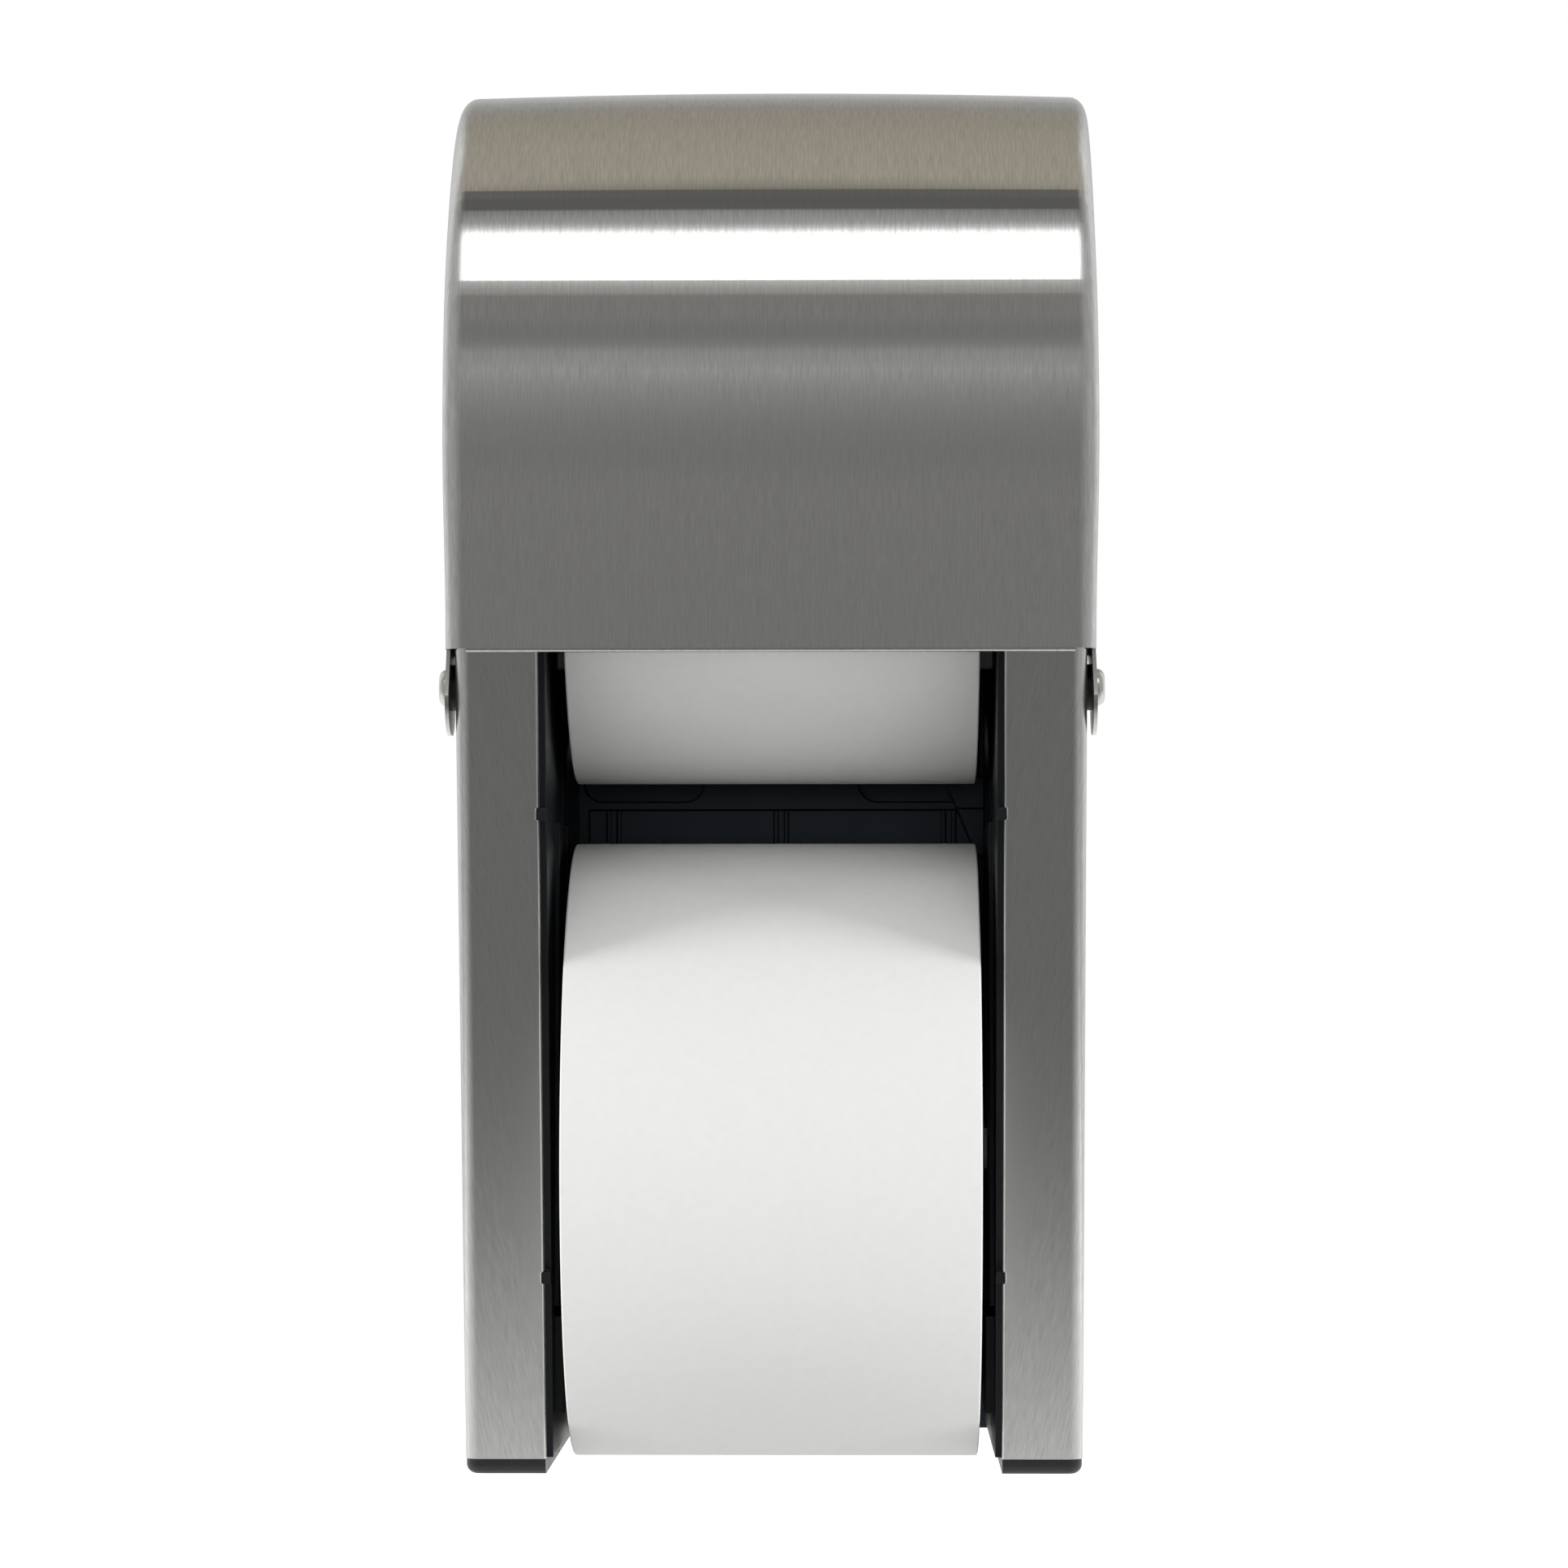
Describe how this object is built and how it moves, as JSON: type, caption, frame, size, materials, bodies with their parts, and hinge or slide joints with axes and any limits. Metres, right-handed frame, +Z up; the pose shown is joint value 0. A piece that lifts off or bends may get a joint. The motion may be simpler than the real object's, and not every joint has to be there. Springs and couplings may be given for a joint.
{
  "type": "toilet paper dispenser",
  "caption": "Wall-mounted vertical dispenser for stacked coreless toilet rolls: brushed steel hood hinged at its front lower corners, steel rails over a moulded frame, key lock on top.",
  "frame": {"origin": "middle of the four wall screws, on the wall plane", "axes": "+Z up, +Y into the wall, the front faces -Y, +X to the right as seen from the front"},
  "size_m": [0.1586, 0.168, 0.3384],
  "materials": {
    "brushed_stainless": "brushed along the height",
    "black_abs": "moulded, fine satin texture",
    "black_nylon": "moulded",
    "plain_steel": "bright",
    "lock_chrome": "plated",
    "grey_acetal": "moulded",
    "paper": "soft wound tissue with a fine emboss"
  },
  "bodies": {
    "frame": {"back_frame": "black_abs", "left_side_frame": "black_abs", "right_side_frame": "black_abs", "left_rail_cover": "brushed_stainless", "right_rail_cover": "brushed_stainless", "left_foot_cap": "black_abs", "right_foot_cap": "black_abs", "side_frame_screws": "plain_steel", "foot_cap_screws": "plain_steel", "left_pivot_bush": "black_nylon", "right_pivot_bush": "black_nylon", "left_pivot_rivet": "plain_steel", "right_pivot_rivet": "plain_steel", "left_catch_pin": "plain_steel", "right_catch_pin": "plain_steel", "left_catch_spring": "plain_steel", "right_catch_spring": "plain_steel", "lock_striker": "plain_steel", "striker_rivets": "plain_steel"},
    "hood": {"hood": "brushed_stainless", "lock_barrel": "lock_chrome", "lock_nut": "lock_chrome"},
    "lock": {"lock_plug": "lock_chrome", "lock_cam": "plain_steel", "cam_screw": "plain_steel"},
    "left_catch": {"left_drop_catch": "grey_acetal"},
    "right_catch": {"right_drop_catch": "grey_acetal"},
    "upper_roll": {"upper_roll": "paper", "upper_left_hub": "grey_acetal", "upper_right_hub": "grey_acetal"},
    "lower_roll": {"lower_roll": "paper", "lower_left_hub": "grey_acetal", "lower_right_hub": "grey_acetal"}
  },
  "joints": [
    {"name": "hood_hinge", "type": "hinge", "parent": "frame", "child": "hood", "pos_m": [0, -0.149, -0.05338], "axis": [1, 0, 0], "range_deg": [0, 78]},
    {"name": "lock_turn", "type": "hinge", "parent": "hood", "child": "lock", "pos_m": [0, -0.034, 0.0875], "axis": [0, 0, 1], "range_deg": [0, 90]},
    {"name": "left_catch_hinge", "type": "hinge", "parent": "frame", "child": "left_catch", "pos_m": [-0.063, -0.0875, 0.0475], "axis": [0, 1, 0], "range_deg": [0, 4.5], "stiffness_Nm_per_rad": 0.08, "springref_deg": -6.88},
    {"name": "right_catch_hinge", "type": "hinge", "parent": "frame", "child": "right_catch", "pos_m": [0.063, -0.0875, 0.0475], "axis": [0, -1, 0], "range_deg": [0, 4.5], "stiffness_Nm_per_rad": 0.08, "springref_deg": -6.88},
    {"name": "upper_roll_spin", "type": "hinge", "parent": "frame", "child": "upper_roll", "pos_m": [0, -0.0875, 0.0019], "axis": [1, 0, 0], "continuous": true},
    {"name": "lower_roll_spin", "type": "hinge", "parent": "frame", "child": "lower_roll", "pos_m": [0, -0.0875, -0.1651], "axis": [1, 0, 0], "continuous": true}
  ]
}
